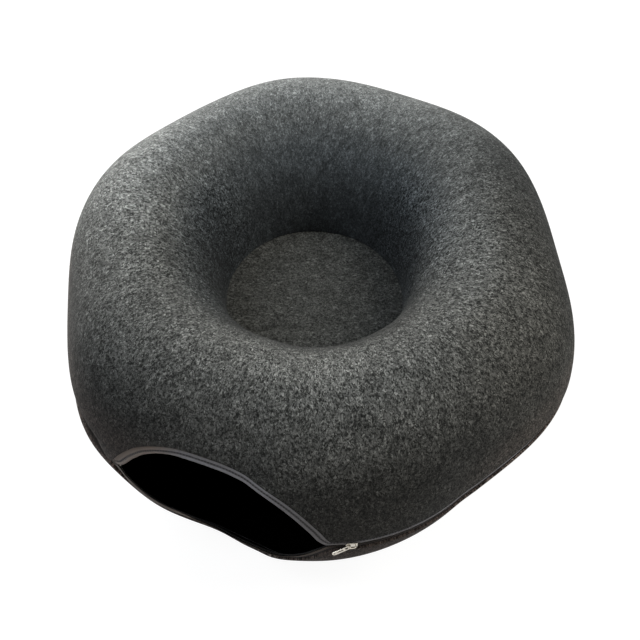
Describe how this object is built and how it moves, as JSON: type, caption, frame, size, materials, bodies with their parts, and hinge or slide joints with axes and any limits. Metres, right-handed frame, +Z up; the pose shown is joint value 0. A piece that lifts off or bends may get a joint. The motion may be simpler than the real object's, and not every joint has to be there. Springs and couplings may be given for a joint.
{
  "type": "cat tunnel bed",
  "caption": "Soft ring-shaped felt cat tunnel with a sunken round bed in the middle and a zip round its side, drawn open over one stretch as the entrance.",
  "frame": {"origin": "middle of the bounding box of the whole piece, on the floor that it stands on", "axes": "+Z up; -Y is the side with the entrance at its left and the zip slider near its middle; +X is to the right seen from there"},
  "size_m": [0.5858, 0.6198, 0.28],
  "materials": {
    "charcoal_felt": "needle-punched polyester felt, matt and fibrous",
    "zip_tape": "woven polyester tape, matt",
    "zip_coil": "dyed polyester monofilament coil",
    "sewing_thread": "spun polyester thread",
    "plated_zinc": "die-cast zinc with a bright nickel plating"
  },
  "bodies": {
    "lower_half": {"lower_shell": "charcoal_felt", "lower_well_floor": "charcoal_felt", "lower_zip_tape": "zip_tape", "lower_zip_coil": "zip_coil", "lower_tape_stitching": "sewing_thread", "lower_floor_stitching": "sewing_thread", "lower_end_stop": "plated_zinc", "zip_start_stop": "plated_zinc"},
    "upper_half": {"upper_shell": "charcoal_felt", "upper_well_floor": "charcoal_felt", "upper_zip_tape": "zip_tape", "upper_zip_coil": "zip_coil", "upper_tape_stitching": "sewing_thread", "upper_floor_stitching": "sewing_thread", "upper_end_stop": "plated_zinc"},
    "slider": {"zip_slider": "plated_zinc", "slider_bail": "plated_zinc"},
    "pull": {"pull_tab": "plated_zinc"}
  },
  "joints": [
    {"name": "upper_half_lift", "type": "slide", "parent": "lower_half", "child": "upper_half", "axis": [0, 0, 1], "range_m": [0, 0.3]},
    {"name": "slider_run", "type": "hinge", "parent": "lower_half", "child": "slider", "pos_m": [0.01048, -0.09454, 0.134], "axis": [0, 0, 1], "range_deg": [0, 24]},
    {"name": "pull_swing", "type": "hinge", "parent": "slider", "child": "pull", "pos_m": [0.03392, -0.30461, 0.134], "axis": [-0.4037, -0.0496, 0.9135], "range_deg": [0, 120]}
  ]
}
